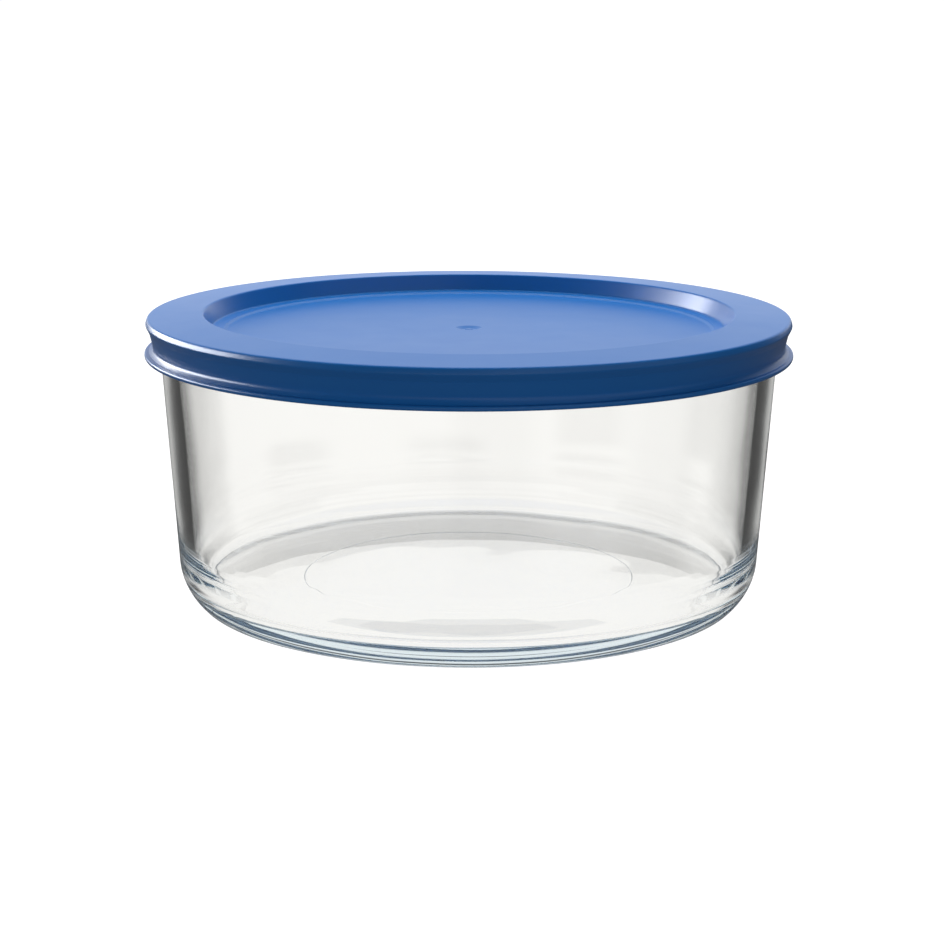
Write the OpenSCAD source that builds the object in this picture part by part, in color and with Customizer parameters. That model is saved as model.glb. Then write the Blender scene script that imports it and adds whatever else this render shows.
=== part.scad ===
// Round glass storage container: a pressed-glass bowl with a one-piece snap-fit plastic lid.
// Millimetres, +Z up. The origin is on the vertical axis, in the plane the bowl stands on.

/* [Glass bowl] */
// Outer radius of the upright band at the rim, which the lid grips
rim_r = 77.9; // [76:0.1:80]
// Height of the glass from the standing plane to the top of the rim
bowl_h = 71.2; // [60:0.1:90]
// Thickness of the glass wall
glass_wall = 4.0; // [3:0.1:4.5]
// Thickness of the glass floor at the flat part inside
floor_t = 5.5; // [4.5:0.1:7.5]
// Angle by which the wall leans in towards the foot, in degrees
wall_draft = 3.76; // [2:0.01:5]
// Radius of the sharp corner that the foot and its bevel would make
foot_r = 69.4; // [67:0.1:70]
// Radius of the big outer curve between the wall and the foot bevel
heel_fillet = 14.6; // [8:0.1:15]
// Height at which the wall bends further in on its inside
bend_z = 14.3; // [13.5:0.1:20]
// Lean of the inside below that bend, in degrees
bend_draft = 16; // [12:0.5:22]
// Radius of the gentle curve at the bend
bend_fillet = 30; // [15:1:34]
// Radius of the tight curve between the inside of the wall and the floor
inner_fillet = 3; // [2:0.5:6]
// Radius of the shallow disc sunk into the underside
sunk_disc_r = 42.5; // [30:0.5:50]
// Depth of the shallow disc in the underside
sunk_disc_depth = 0.15; // [0.1:0.05:1]

/* [Snap lid] */
// Outer radius of the lid at its upper edge
lid_r = 81.5; // [81.3:0.1:84]
// Thickness of the lid's walls
lid_wall = 1.3; // [1.1:0.1:1.5]
// Gap between the lid and the glass all round
fit_gap = 0.3; // [0.3:0.05:0.5]
// Depth of the lid's recess below its upper edge
recess_depth = 4.3; // [3.5:0.1:5]
// Radius of the recess at its upper edge
recess_r = 67.1; // [60:0.1:68]
// Width of the band between the recess wall and the small step in its floor
margin_w = 3.2; // [2:0.1:5]
// Drop of the middle panel below that band
step_drop = 0.4; // [0.3:0.05:0.6]
// Rise of the flat rim of the lid from its outer edge to the recess
ledge_rise = 0.8; // [0.3:0.1:1]
// Height of the skirt from the upper outer edge to the lowest face of the flange
skirt_h = 9.7; // [9:0.1:12]
// Outer radius of the flange round the foot of the skirt
flange_r = 81.9; // [81.5:0.1:84.5]
// Thickness of the flange
flange_t = 1.2; // [1:0.1:1.5]
// Radius of the shallow dish in the middle of the panel, left by the moulding gate
gate_dish_r = 3.4; // [2:0.1:5]

/* [Hidden] */
$fn = 180;
arc_step = 9;                               // largest turn of one straight piece of an arc, in degrees

// Bowl
neck_z = bowl_h - 7.6;                      // the upright rim band ends here and the lean begins
rim_fillet = glass_wall * 0.45;             // fire-polished edges of the rim
foot_fillet = 2;                            // rounding between the foot and its bevel
lean = tan(wall_draft);
// The wall, radius = rim_r - (neck_z - z) * lean, meets the 45 degree bevel, radius = foot_r + z
heel_z = (rim_r - neck_z * lean - foot_r) / (1 - lean);
inner_r = rim_r - glass_wall;               // inside of the upright band
bend_r = inner_r - (neck_z - bend_z) * lean; // inside of the wall at the bend
step_fillet = sunk_disc_depth / 2;          // rounding of the edge of the sunk disc

// Lid
ledge_z = bowl_h + fit_gap / 2 + lid_wall;  // top of the lid over the glass rim
outer_z = ledge_z - 0.3;                    // upper outer edge of the lid
crest_z = outer_z + ledge_rise;             // upper edge of the recess, the highest part
margin_z = crest_z - recess_depth;          // floor of the recess beside its wall
panel_z = margin_z - step_drop;             // middle panel
skirt_foot_z = outer_z - skirt_h;           // lowest face of the flange
recess_foot_r = recess_r - 1.9;             // the recess wall leans in by this much
step_r = recess_foot_r - margin_w;          // outer edge of the small step
step_run = 0.7;                             // width of the step's slope
waist_r = lid_r - 1.85;                     // narrowest outer radius of the skirt
waist_z = skirt_foot_z + flange_t + 1.1;    // where the skirt runs out into the flange
grip_r = rim_r + fit_gap;                   // inside radius of the snap bead
seal_r = inner_r - fit_gap;                 // outside radius of the seal lip inside the glass
seal_drop = 3.6;                            // how far the seal lip hangs below the ledge

function unit(v) = v / norm(v);
function turned(v, a) = [v.x * cos(a) - v.y * sin(a), v.x * sin(a) + v.y * cos(a)];

// The corner at b, between a and c, rounded to radius r as a run of arc points
function rounded(a, b, c, r) =
    let (
        back = unit(a - b),
        on = unit(c - b),
        half = acos(back * on) / 2,
        centre = b + unit(back + on) * r / sin(half),
        first = b + back * r / tan(half) - centre,
        turn = (180 - 2 * half) * sign(cross(-back, on)),
        steps = ceil(abs(turn) / arc_step)
    )
    [for (i = [0 : steps]) centre + turned(first, turn * i / steps)];

// An outline from corners [radius, height, rounding]; a rounding of 0 keeps the corner sharp
function outline(corners) =
    let (
        n = len(corners),
        p = [for (c = corners) [c[0], c[1]]]
    )
    [for (i = [0 : n - 1]) each corners[i][2] == 0 ? [p[i]]
        : rounded(p[(i + n - 1) % n], p[i], p[(i + 1) % n], corners[i][2])];

// Half section of the bowl, from the middle of the underside out, up the wall and back inside
bowl_corners = [
    [0, sunk_disc_depth, 0],
    [sunk_disc_r, sunk_disc_depth, step_fillet],
    [sunk_disc_r + sunk_disc_depth, 0, step_fillet],
    [foot_r, 0, foot_fillet],
    [foot_r + heel_z, heel_z, heel_fillet],
    [rim_r, neck_z, 0],
    [rim_r, bowl_h, rim_fillet],
    [inner_r, bowl_h, rim_fillet],
    [inner_r, neck_z, 0],
    [bend_r, bend_z, bend_fillet],
    [bend_r - (bend_z - floor_t) * tan(bend_draft), floor_t, inner_fillet],
    [0, floor_t, 0]
];

// Upper side of the lid, from the middle of the panel to the outer edge of the flange
lid_top_corners = [
    [0, panel_z - 0.3, 0],
    [0.9, panel_z - 0.3, 0],
    [1.2, panel_z - 0.5, 0],
    [gate_dish_r - 1.5, panel_z - 0.5, 0.4],
    [gate_dish_r, panel_z, 0.5],
    [step_r - step_run, panel_z, 0.3],
    [step_r, margin_z, 0.3],
    [recess_foot_r, margin_z, 0.6],
    [recess_r, crest_z, 0.6],
    [lid_r - 0.5, outer_z, 0.8],
    [lid_r, outer_z - 1.5, 0.8],
    [lid_r - 0.9, outer_z - 3.3, 1.5],
    [waist_r, waist_z, 1.2],
    [waist_r + 1.1, skirt_foot_z + flange_t, 0.5],
    [flange_r, skirt_foot_z + flange_t, flange_t * 0.42]
];

// Underside of the lid, from the flange in past the snap bead and the seal lip to the middle
lid_under_corners = [
    [flange_r, skirt_foot_z, flange_t * 0.42],
    [grip_r + 0.8, skirt_foot_z, 0.3],
    [grip_r, skirt_foot_z + 1.2, 0.5],
    [grip_r, skirt_foot_z + 2.4, 0.5],
    [grip_r + 0.5, skirt_foot_z + 3.4, 0.5],
    [lid_r - 2.1, outer_z - 3.2, 0.8],
    [lid_r - 2.1, ledge_z - lid_wall, 0.5],
    [seal_r, ledge_z - lid_wall, 0.4],
    [seal_r - 0.2, ledge_z - lid_wall - seal_drop, 0.35],
    [seal_r - 1.1, ledge_z - lid_wall - seal_drop, 0.35],
    [seal_r - 1.3, crest_z - lid_wall - 0.3, 0.4],
    [recess_r + lid_wall, crest_z - lid_wall, 0.4],
    [recess_foot_r + lid_wall, margin_z - lid_wall, 0.8],
    [step_r + 0.5, margin_z - lid_wall, 0.3],
    [step_r - step_run, panel_z - lid_wall, 0.3],
    [0, panel_z - lid_wall, 0]
];

// Pressed soda-lime glass
module glass_bowl() {
    color([0.80, 0.90, 0.90, 0.45])
        rotate_extrude() polygon(outline(bowl_corners));
}

// Flexible plastic, moulded in one piece: panel, recess, ledge, skirt, flange, snap bead and seal lip
module snap_lid() {
    color([0.10, 0.24, 0.47])
        rotate_extrude() polygon(outline(concat(lid_top_corners, lid_under_corners)));
}

glass_bowl();
snap_lid();
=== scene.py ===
"""Looks of a round glass storage container: a clear pressed-glass bowl under a blue snap lid."""
import math

import bmesh
import bpy
from mathutils import Matrix, Vector, noise


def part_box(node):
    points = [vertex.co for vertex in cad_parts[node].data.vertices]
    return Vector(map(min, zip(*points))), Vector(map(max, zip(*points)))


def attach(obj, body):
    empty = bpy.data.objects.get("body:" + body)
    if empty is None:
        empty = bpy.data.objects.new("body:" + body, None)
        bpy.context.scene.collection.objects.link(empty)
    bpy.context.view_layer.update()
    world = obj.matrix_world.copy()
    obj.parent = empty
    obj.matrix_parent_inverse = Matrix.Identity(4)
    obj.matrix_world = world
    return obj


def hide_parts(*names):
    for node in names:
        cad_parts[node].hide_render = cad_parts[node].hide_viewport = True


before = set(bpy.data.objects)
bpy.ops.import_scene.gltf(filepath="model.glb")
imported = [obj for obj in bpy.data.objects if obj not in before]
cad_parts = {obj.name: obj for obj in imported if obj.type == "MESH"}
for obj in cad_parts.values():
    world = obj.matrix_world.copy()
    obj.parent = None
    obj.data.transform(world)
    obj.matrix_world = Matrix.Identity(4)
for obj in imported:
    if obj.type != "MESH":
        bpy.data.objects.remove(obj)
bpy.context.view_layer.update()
MM = 0.001

# ---------------------------------------------------------------- places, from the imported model
bowl_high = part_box("glass_bowl")[1]
lid_low, lid_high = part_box("snap_lid")
RIM_R = bowl_high.x                          # outer radius of the upright band at the glass rim
BOWL_H = bowl_high.z
FLANGE_R = lid_high.x
SKIRT_FOOT = lid_low.z

# ---------------------------------------------------------------- sizes of the glass
GLASS_WALL = 4.0 * MM
FLOOR_T = 5.5 * MM
NECK_Z = BOWL_H - 7.6 * MM                   # the upright band ends here and the wall begins to lean
LEAN = math.tan(math.radians(3.76))
FOOT_R = 69.4 * MM                           # where the 45 degree bevel would meet the table
HEEL_Z = (RIM_R - NECK_Z * LEAN - FOOT_R) / (1 - LEAN)
HEEL_FILLET = 14.6 * MM
BEND_Z = 14.3 * MM                           # the inside of the wall bends further in below this
BEND_LEAN = math.tan(math.radians(16))
BEND_FILLET = 30 * MM
INNER_FILLET = 3 * MM
SUNK_R = 42.5 * MM
SUNK_DEPTH = 0.15 * MM
STEP_FILLET = SUNK_DEPTH / 2
RIM_FILLET = GLASS_WALL * 0.45
GLASS_RIPPLE = 0.02 * MM                     # how far the pressed surface wanders from the true one

# ---------------------------------------------------------------- sizes of the lid
LID_R = FLANGE_R - 0.4 * MM                  # upper edge of the skirt
LID_WALL = 1.3 * MM
FIT_GAP = 0.3 * MM
LEDGE_Z = BOWL_H + FIT_GAP / 2 + LID_WALL    # top of the lid over the glass rim
OUTER_Z = LEDGE_Z - 0.3 * MM
CREST_Z = OUTER_Z + 0.8 * MM                 # upper edge of the recess
MARGIN_Z = CREST_Z - 4.3 * MM                # floor of the recess beside its wall
PANEL_Z = MARGIN_Z - 0.4 * MM
RECESS_R = 67.1 * MM
RECESS_FOOT_R = RECESS_R - 1.9 * MM
STEP_R = RECESS_FOOT_R - 3.2 * MM
STEP_RUN = 0.7 * MM
FLANGE_T = 1.2 * MM
WAIST_R = LID_R - 1.85 * MM
WAIST_Z = SKIRT_FOOT + FLANGE_T + 1.1 * MM
GRIP_R = RIM_R + FIT_GAP
SEAL_R = RIM_R - GLASS_WALL - FIT_GAP
SEAL_DROP = 3.6 * MM
DISH_R = 3.4 * MM

SEGMENTS = 256


def corner_points(a, b, c, radius):
    """The corner at b, between a and c, rounded to a radius."""
    back, on = (a - b).normalized(), (c - b).normalized()
    half = back.angle(on) / 2
    centre = b + (back + on).normalized() * (radius / math.sin(half))
    first = b + back * (radius / math.tan(half)) - centre
    turn = math.copysign(math.pi - 2 * half, -back.cross(on))
    steps = max(4, math.ceil(abs(turn) / math.radians(4 if radius > 2 * MM else 10)))
    points = []
    for i in range(steps + 1):
        angle = turn * i / steps
        points.append(centre + Vector((first.x * math.cos(angle) - first.y * math.sin(angle),
                                       first.x * math.sin(angle) + first.y * math.cos(angle))))
    return points


def outline(corners):
    """Points of a half section from corners (radius, height, rounding)."""
    places = [Vector(c[:2]) for c in corners]
    points = []
    for i, corner in enumerate(corners):
        if corner[2] == 0:
            points.append(places[i])
        else:
            points += corner_points(places[i - 1], places[i], places[(i + 1) % len(places)], corner[2])
    return points


def evenly(points, longest=2.5 * MM, support=0.25 * MM):
    """The same outline with its long straights cut up, and a ring close to each end of a straight."""
    result = [points[0]]
    for a, b in zip(points, points[1:]):
        length = (b - a).length
        if length > 4 * support:
            count = max(1, math.ceil((length - 2 * support) / longest))
            inner = (length - 2 * support) / count
            result += [a + (b - a) * ((support + inner * i) / length) for i in range(count + 1)]
        result.append(b)
    return result


def lathe(name, points, segments=SEGMENTS):
    """A closed smooth solid turned from a half section that starts and ends on the axis."""
    bm = bmesh.new()
    rings = []
    for p in points:
        if p.x < 1e-7:
            rings.append([bm.verts.new((0, 0, p.y))])
            continue
        turns = [2 * math.pi * i / segments for i in range(segments)]
        rings.append([bm.verts.new((p.x * math.cos(t), p.x * math.sin(t), p.y)) for t in turns])
    for low, high in zip(rings, rings[1:]):
        for i in range(segments):
            j = (i + 1) % segments
            quad = [low[i % len(low)], low[j % len(low)], high[j % len(high)], high[i % len(high)]]
            bm.faces.new(list(dict.fromkeys(quad)))
    bmesh.ops.recalc_face_normals(bm, faces=bm.faces)
    mesh = bpy.data.meshes.new(name)
    bm.to_mesh(mesh)
    bm.free()
    for face in mesh.polygons:
        face.use_smooth = True
    piece = bpy.data.objects.new(name, mesh)
    bpy.context.scene.collection.objects.link(piece)
    return piece


def ripple(piece, depth, size, seed):
    """Moves each point along its normal by a smooth noise, as moulded surfaces wander."""
    mesh = piece.data
    normals = [v.normal.copy() for v in mesh.vertices]
    for v, normal in zip(mesh.vertices, normals):
        v.co += normal * (depth * noise.noise(v.co / size + Vector((seed, 0, 0))))
    mesh.update()


# ---------------------------------------------------------------- pieces
def glass_bowl():
    """Pressed glass: sunk disc under the foot, bevelled heel, leaning wall and fire-polished rim."""
    inner_r = RIM_R - GLASS_WALL
    bend_r = inner_r - (NECK_Z - BEND_Z) * LEAN
    corners = [
        (0, SUNK_DEPTH, 0),
        (SUNK_R, SUNK_DEPTH, STEP_FILLET),
        (SUNK_R + SUNK_DEPTH, 0, STEP_FILLET),
        (FOOT_R, 0, 2 * MM),
        (FOOT_R + HEEL_Z, HEEL_Z, HEEL_FILLET),
        (RIM_R, NECK_Z, 6 * MM),
        (RIM_R, BOWL_H, RIM_FILLET),
        (inner_r, BOWL_H, RIM_FILLET),
        (inner_r, NECK_Z, 6 * MM),
        (bend_r, BEND_Z, BEND_FILLET),
        (bend_r - (BEND_Z - FLOOR_T) * BEND_LEAN, FLOOR_T, INNER_FILLET),
        (0, FLOOR_T, 0),
    ]
    piece = lathe("bowl_glass", evenly(outline(corners)))
    ripple(piece, GLASS_RIPPLE, 16 * MM, 3.7)
    piece.data.materials.append(clear_glass())
    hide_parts("glass_bowl")
    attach(piece, "bowl")


def snap_lid():
    """One moulding: panel, recess, rim, skirt and flange above; snap bead and seal lip below."""
    under_z = LEDGE_Z - LID_WALL
    bead_in = LID_R - 2.1 * MM
    top = [
        (0, PANEL_Z - 0.3 * MM, 0),
        (0.9 * MM, PANEL_Z - 0.3 * MM, 0.15 * MM),
        (1.2 * MM, PANEL_Z - 0.5 * MM, 0.1 * MM),
        (DISH_R - 1.5 * MM, PANEL_Z - 0.5 * MM, 0.4 * MM),
        (DISH_R, PANEL_Z, 0.5 * MM),
        (STEP_R - STEP_RUN, PANEL_Z, 0.3 * MM),
        (STEP_R, MARGIN_Z, 0.3 * MM),
        (RECESS_FOOT_R, MARGIN_Z, 0.6 * MM),
        (RECESS_R, CREST_Z, 0.6 * MM),
        (LID_R - 0.5 * MM, OUTER_Z, 0.8 * MM),
        (LID_R, OUTER_Z - 1.5 * MM, 0.8 * MM),
        (LID_R - 0.9 * MM, OUTER_Z - 3.3 * MM, 1.5 * MM),
        (WAIST_R, WAIST_Z, 1.2 * MM),
        (WAIST_R + 1.1 * MM, SKIRT_FOOT + FLANGE_T, 0.5 * MM),
        (FLANGE_R, SKIRT_FOOT + FLANGE_T, FLANGE_T * 0.42),
    ]
    under = [
        (FLANGE_R, SKIRT_FOOT, FLANGE_T * 0.42),
        (GRIP_R + 0.8 * MM, SKIRT_FOOT, 0.3 * MM),
        (GRIP_R, SKIRT_FOOT + 1.2 * MM, 0.5 * MM),
        (GRIP_R, SKIRT_FOOT + 2.4 * MM, 0.5 * MM),
        (GRIP_R + 0.5 * MM, SKIRT_FOOT + 3.4 * MM, 0.5 * MM),
        (bead_in, OUTER_Z - 3.2 * MM, 0.8 * MM),
        (bead_in, under_z, 0.5 * MM),
        (SEAL_R, under_z, 0.4 * MM),
        (SEAL_R - 0.2 * MM, under_z - SEAL_DROP, 0.35 * MM),
        (SEAL_R - 1.1 * MM, under_z - SEAL_DROP, 0.35 * MM),
        (SEAL_R - 1.3 * MM, CREST_Z - LID_WALL - 0.3 * MM, 0.4 * MM),
        (RECESS_R + LID_WALL, CREST_Z - LID_WALL, 0.4 * MM),
        (RECESS_FOOT_R + LID_WALL, MARGIN_Z - LID_WALL, 0.8 * MM),
        (STEP_R + 0.5 * MM, MARGIN_Z - LID_WALL, 0.3 * MM),
        (STEP_R - STEP_RUN, PANEL_Z - LID_WALL, 0.3 * MM),
        (0, PANEL_Z - LID_WALL, 0),
    ]
    piece = lathe("lid_shell", evenly(outline(top + under)))
    ripple(piece, 0.03 * MM, 26 * MM, 11.3)
    piece.data.materials.append(blue_plastic())
    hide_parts("snap_lid")
    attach(piece, "lid")


# ---------------------------------------------------------------- materials
def new_material(name):
    material = bpy.data.materials.new(name)
    material.use_nodes = True
    nodes = material.node_tree.nodes
    return material, nodes, material.node_tree.links, nodes["Principled BSDF"]


def clear_glass():
    """Soda-lime glass, with a cool tint that only shows along a long way through it."""
    material, nodes, links, shader = new_material("clear_glass")
    shader.inputs["Base Color"].default_value = (1, 1, 1, 1)
    shader.inputs["Roughness"].default_value = 0.0
    shader.inputs["IOR"].default_value = 1.51
    shader.inputs["Transmission Weight"].default_value = 1.0
    tint = nodes.new("ShaderNodeVolumeAbsorption")
    tint.inputs["Color"].default_value = (0.60, 0.80, 0.91, 1)
    tint.inputs["Density"].default_value = 4.0
    links.new(tint.outputs[0], nodes["Material Output"].inputs["Volume"])
    return material


def blue_plastic():
    """Satin polyethylene, with gloss and colour that vary a little."""
    material, nodes, links, shader = new_material("blue_plastic")
    shader.inputs["IOR"].default_value = 1.5
    shader.inputs["Specular IOR Level"].default_value = 0.5
    place = nodes.new("ShaderNodeTexCoord")

    def noise_at(scale, detail):
        node = nodes.new("ShaderNodeTexNoise")
        node.inputs["Scale"].default_value = scale
        node.inputs["Detail"].default_value = detail
        links.new(place.outputs["Object"], node.inputs["Vector"])
        return node.outputs["Fac"]

    def spread(factor, low, high):
        node = nodes.new("ShaderNodeMapRange")
        node.inputs["To Min"].default_value = low
        node.inputs["To Max"].default_value = high
        links.new(factor, node.inputs["Value"])
        return node.outputs["Result"]

    colour = nodes.new("ShaderNodeMix")
    colour.data_type = "RGBA"
    colour.inputs["A"].default_value = (0.007, 0.128, 0.435, 1)
    colour.inputs["B"].default_value = (0.009, 0.140, 0.462, 1)
    links.new(noise_at(38, 3), colour.inputs["Factor"])
    links.new(colour.outputs["Result"], shader.inputs["Base Color"])
    links.new(spread(noise_at(90, 3), 0.27, 0.33), shader.inputs["Roughness"])
    return material


def pale_floor():
    material, _, _, shader = new_material("pale_floor")
    shader.inputs["Base Color"].default_value = (0.15, 0.15, 0.15, 1)
    shader.inputs["Roughness"].default_value = 0.8
    shader.inputs["Specular IOR Level"].default_value = 0.0
    shader.inputs["Emission Color"].default_value = (1, 1, 1, 1)
    shader.inputs["Emission Strength"].default_value = 1.0
    return material


# ---------------------------------------------------------------- studio
CAMERA_DISTANCE = 0.5593                     # from the container's axis, level
CAMERA_HEIGHT = 0.1567
CAMERA_PITCH = math.radians(12.685)          # downwards
CAMERA_YAW = 0.00158                         # the container stands a touch left of the middle
CAMERA_ROLL = 0.0031
LENS = 84.7


def camera():
    data = bpy.data.cameras.new("camera")
    data.sensor_width = 36
    data.lens = LENS
    data.clip_end = 100
    cam = bpy.data.objects.new("camera", data)
    bpy.context.scene.collection.objects.link(cam)
    level = math.cos(CAMERA_PITCH)
    ahead = Vector((math.sin(CAMERA_YAW) * level, math.cos(CAMERA_YAW) * level, -math.sin(CAMERA_PITCH)))
    turn = ahead.to_track_quat("-Z", "Y").to_matrix().to_4x4() @ Matrix.Rotation(CAMERA_ROLL, 4, "Z")
    cam.matrix_world = Matrix.Translation((0, -CAMERA_DISTANCE, CAMERA_HEIGHT)) @ turn
    bpy.context.scene.camera = cam


def floor():
    mesh = bpy.data.meshes.new("floor")
    bm = bmesh.new()
    bmesh.ops.create_circle(bm, cap_ends=True, segments=64, radius=40)
    bm.to_mesh(mesh)
    bm.free()
    ground = bpy.data.objects.new("floor", mesh)
    ground.location.z = -0.05 * MM
    bpy.context.scene.collection.objects.link(ground)
    mesh.materials.append(pale_floor())
    ground.visible_diffuse = False
    ground.visible_glossy = False
    ground.visible_transmission = False
    ground.visible_shadow = False


# Bearing and band of elevation (degrees) that three chosen views look along: the main camera's, and those
# from azimuth 90 and 225. Dark flags on both sides of each draw the edges of the glass in those views. A view
# that looks straight at a flag, such as the one from azimuth 315, shows the inside of the bowl grey.
FLAG_STRENGTH = 0.95                         # how much of the light through the glass a flag takes away
FLAGGED_VIEWS = ((0, -19, 1), (-90, -8, 1), (135, -20, -10))


def surround():
    """The white room, different for each kind of ray: seen directly, through the glass, and as the fill."""
    world = bpy.data.worlds.new("surround")
    bpy.context.scene.world = world
    world.use_nodes = True
    nodes, links = world.node_tree.nodes, world.node_tree.links
    nodes.clear()

    def number(value, socket):
        if isinstance(value, (int, float)):
            socket.default_value = value
        else:
            links.new(value, socket)

    def calc(operation, a, b=0.0):
        node = nodes.new("ShaderNodeMath")
        node.operation = operation
        number(a, node.inputs[0])
        number(b, node.inputs[1])
        return node.outputs[0]

    def ramp(value, start, end):
        """0 up to start, 1 from end on, and smooth between; end may be below start."""
        node = nodes.new("ShaderNodeMapRange")
        node.interpolation_type = "SMOOTHSTEP"
        number(value, node.inputs["Value"])
        low, high = sorted((start, end))
        node.inputs["From Min"].default_value = low
        node.inputs["From Max"].default_value = high
        node.inputs["To Min"].default_value = 0 if start < end else 1
        node.inputs["To Max"].default_value = 1 if start < end else 0
        return node.outputs["Result"]

    def choose(switch, otherwise, chosen):
        node = nodes.new("ShaderNodeMix")
        node.data_type = "FLOAT"
        links.new(switch, node.inputs["Factor"])
        number(otherwise, node.inputs["A"])
        number(chosen, node.inputs["B"])
        return node.outputs["Result"]

    place = nodes.new("ShaderNodeTexCoord")
    split = nodes.new("ShaderNodeSeparateXYZ")
    links.new(place.outputs["Generated"], split.inputs[0])
    x, y, z = split.outputs
    degrees = 180 / math.pi
    round_at = calc("MULTIPLY", calc("ARCTAN2", x, y), degrees)      # 0 behind the object, 90 on its right
    height = calc("MULTIPLY", calc("ARCSINE", z), degrees)

    def times(*factors):
        product = factors[0]
        for factor in factors[1:]:
            product = calc("MULTIPLY", product, factor)
        return product

    def aside_from(bearing):
        """Degrees round from a bearing, 0 to 180."""
        return calc("PINGPONG", calc("ADD", round_at, 360 - bearing), 180)

    dark = times(ramp(height, 1, 10), ramp(height, 13.8, 12.8))      # the gap between table and backdrop
    for bearing, low, high in FLAGGED_VIEWS:
        aside = aside_from(bearing)
        flag = times(ramp(aside, 11, 28), ramp(aside, 57, 45),
                     ramp(height, low - 5, low + 1), ramp(height, high + 5, high - 1))
        dark = calc("MAXIMUM", dark, flag)
    through = calc("SUBTRACT", 1, times(dark, FLAG_STRENGTH))

    above = times(ramp(height, 85, 60), ramp(height, -2, 3))
    behind = times(above, ramp(aside_from(0), 50, 30))
    right_front = times(above, ramp(aside_from(135), 50, 30))
    glow = calc("ADD", 0.62, times(ramp(height, 9, 3), 0.5))         # the backdrop, brighter near the table
    fill = calc("ADD", 0.07, times(ramp(height, 2, -6), 0.05))
    fill = calc("ADD", fill, times(behind, glow))
    fill = calc("ADD", fill, times(right_front, 0.25))

    path = nodes.new("ShaderNodeLightPath")
    light = choose(path.outputs["Is Transmission Ray"], fill, through)
    light = choose(path.outputs["Is Camera Ray"], light, 1.05)
    background = nodes.new("ShaderNodeBackground")
    links.new(light, background.inputs["Strength"])
    tone = nodes.new("ShaderNodeMix")
    tone.data_type = "RGBA"
    tone.inputs["A"].default_value = (1, 1, 1, 1)
    tone.inputs["B"].default_value = (1, 0.988, 0.955, 1)
    links.new(path.outputs["Is Transmission Ray"], tone.inputs["Factor"])
    links.new(tone.outputs["Result"], background.inputs["Color"])
    output = nodes.new("ShaderNodeOutputWorld")
    links.new(background.outputs[0], output.inputs["Surface"])


def softbox(name, round_at, height, size, distance, radiance, diffuse=True, glossy=True, aim=(0, 0, 0)):
    """A square lamp towards a bearing (degrees, 0 behind the object, 90 on its right) and an elevation."""
    lamp = bpy.data.lights.new(name, "AREA")
    lamp.shape = "RECTANGLE"
    lamp.size, lamp.size_y = size
    lamp.energy = 4 * radiance * lamp.size * lamp.size_y
    place = bpy.data.objects.new(name, lamp)
    bearing, rise = math.radians(round_at), math.radians(height)
    away = Vector((math.sin(bearing) * math.cos(rise), math.cos(bearing) * math.cos(rise), math.sin(rise)))
    place.location = Vector(aim) + away * distance
    place.rotation_euler = away.to_track_quat("Z", "Y").to_euler()
    place.visible_camera = False
    place.visible_transmission = False
    place.visible_diffuse = diffuse
    place.visible_glossy = glossy
    bpy.context.scene.collection.objects.link(place)


def lamps():
    """Lamps for the plastic's diffuse shade, and one gleam that only reflections see."""
    softbox("top_light", 0, 60, (1.1, 0.8), 1.0, 4.1, glossy=False)
    softbox("front_light", 180, 5, (1.0, 0.6), 1.0, 0.9, glossy=False)
    softbox("left_light", -74, 17, (1.1, 0.5), 1.0, 1.5, glossy=False)
    softbox("left_gleam", -67, 15, (1.0, 0.36), 1.0, 10.0, diffuse=False)
    # Light that a white table sends up through the glass to the underside of the lid
    softbox("table_light", 0, -90, (0.085, 0.085), 0.05, 1.6, glossy=False, aim=(0, 0, 0.065))


def render_settings():
    scene = bpy.context.scene
    scene.view_settings.view_transform = "Standard"
    scene.cycles.max_bounces = 64
    scene.cycles.transmission_bounces = 64
    scene.cycles.glossy_bounces = 64
    scene.cycles.use_denoising = True


camera()
floor()
surround()
lamps()
render_settings()
glass_bowl()
snap_lid()
